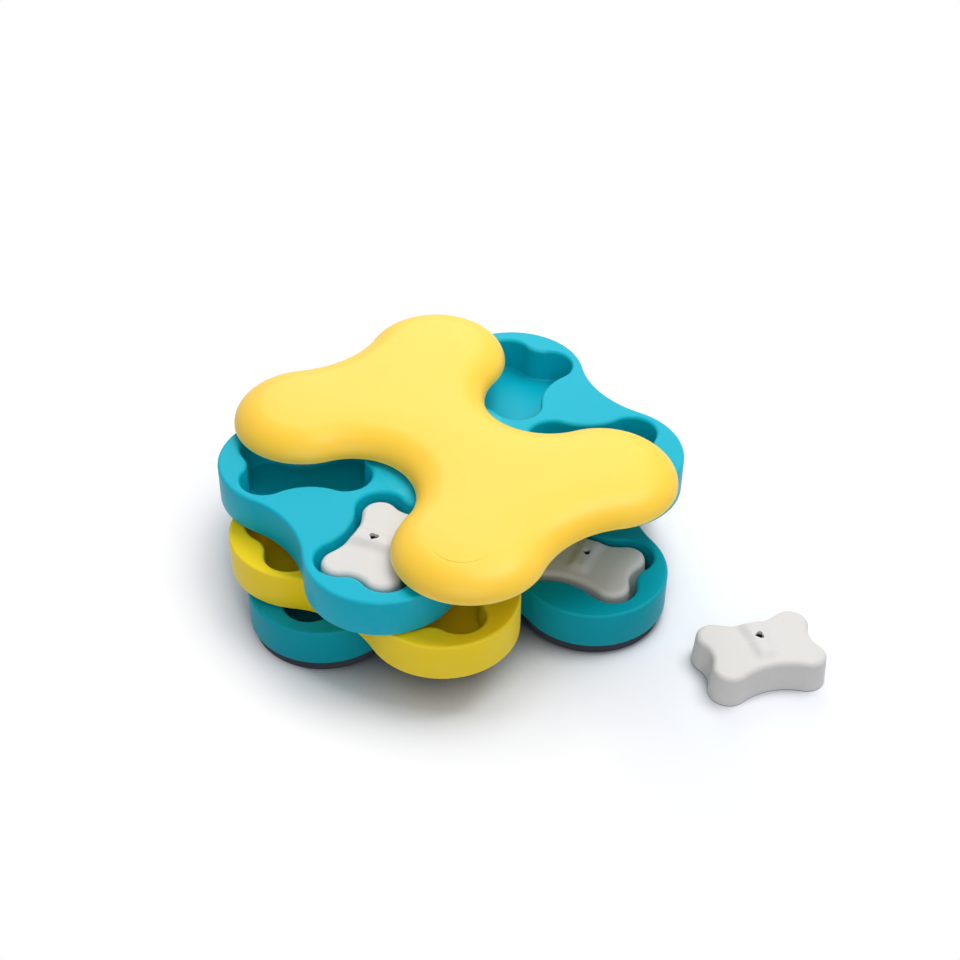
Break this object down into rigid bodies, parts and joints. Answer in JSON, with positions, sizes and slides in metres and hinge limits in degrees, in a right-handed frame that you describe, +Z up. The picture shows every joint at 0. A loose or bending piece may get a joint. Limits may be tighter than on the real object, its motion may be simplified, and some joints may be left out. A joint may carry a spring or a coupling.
{
  "type": "dog puzzle feeder toy",
  "caption": "Turning puzzle feeder for dogs: bone-shaped trays with treat pockets stacked on one shaft under a domed lid, with loose pocket blocks.",
  "frame": {"origin": "on the shaft's axis, on the floor plane that the rubber feet stand on", "axes": "+Z up along the shaft; +X along the base tray's long side; -Y towards the front, where the loose block stands to the right"},
  "size_m": [0.3229, 0.2616, 0.0943],
  "materials": {
    "teal_plastic": "satin moulded plastic",
    "yellow_plastic": "satin moulded plastic",
    "white_plastic": "satin moulded plastic",
    "acetal": "smooth bearing plastic",
    "foot_rubber": "dull dark grey rubber",
    "steel": "plain zinc-plated steel"
  },
  "bodies": {
    "base": {"base_tray": "teal_plastic", "foot_pad_1": "foot_rubber", "foot_pad_2": "foot_rubber", "foot_pad_3": "foot_rubber", "foot_pad_4": "foot_rubber", "well_plug": "foot_rubber", "glide_washer_1": "acetal", "glide_washer_2": "acetal"},
    "middle": {"middle_tray": "yellow_plastic", "glide_washer_3": "acetal"},
    "upper": {"upper_tray": "teal_plastic", "glide_washer_4": "acetal"},
    "lid": {"lid_shell": "yellow_plastic", "centre_shaft": "acetal", "shaft_screws": "steel", "thrust_washer": "steel", "disc_spring": "steel", "retaining_screw": "steel"},
    "base_block": {"base_block": "white_plastic"},
    "upper_block": {"upper_block": "white_plastic"},
    "loose_block": {"loose_block": "white_plastic"}
  },
  "joints": [
    {"name": "middle_spin", "type": "hinge", "parent": "base", "child": "middle", "pos_m": [0, 0, 0], "axis": [0, 0, 1], "continuous": true},
    {"name": "upper_spin", "type": "hinge", "parent": "base", "child": "upper", "pos_m": [0, 0, 0], "axis": [0, 0, 1], "continuous": true},
    {"name": "lid_spin", "type": "hinge", "parent": "base", "child": "lid", "pos_m": [0, 0, 0], "axis": [0, 0, 1], "continuous": true},
    {"name": "base_block_lift", "type": "slide", "parent": "base", "child": "base_block", "axis": [0, 0, 1], "range_m": [0, 0.0023]},
    {"name": "upper_block_lift", "type": "slide", "parent": "upper", "child": "upper_block", "axis": [0, 0, 1], "range_m": [0, 0.0018]},
    {"name": "loose_block_lift", "type": "slide", "parent": "base", "child": "loose_block", "axis": [0, 0, 1], "range_m": [0, 0.06]}
  ]
}
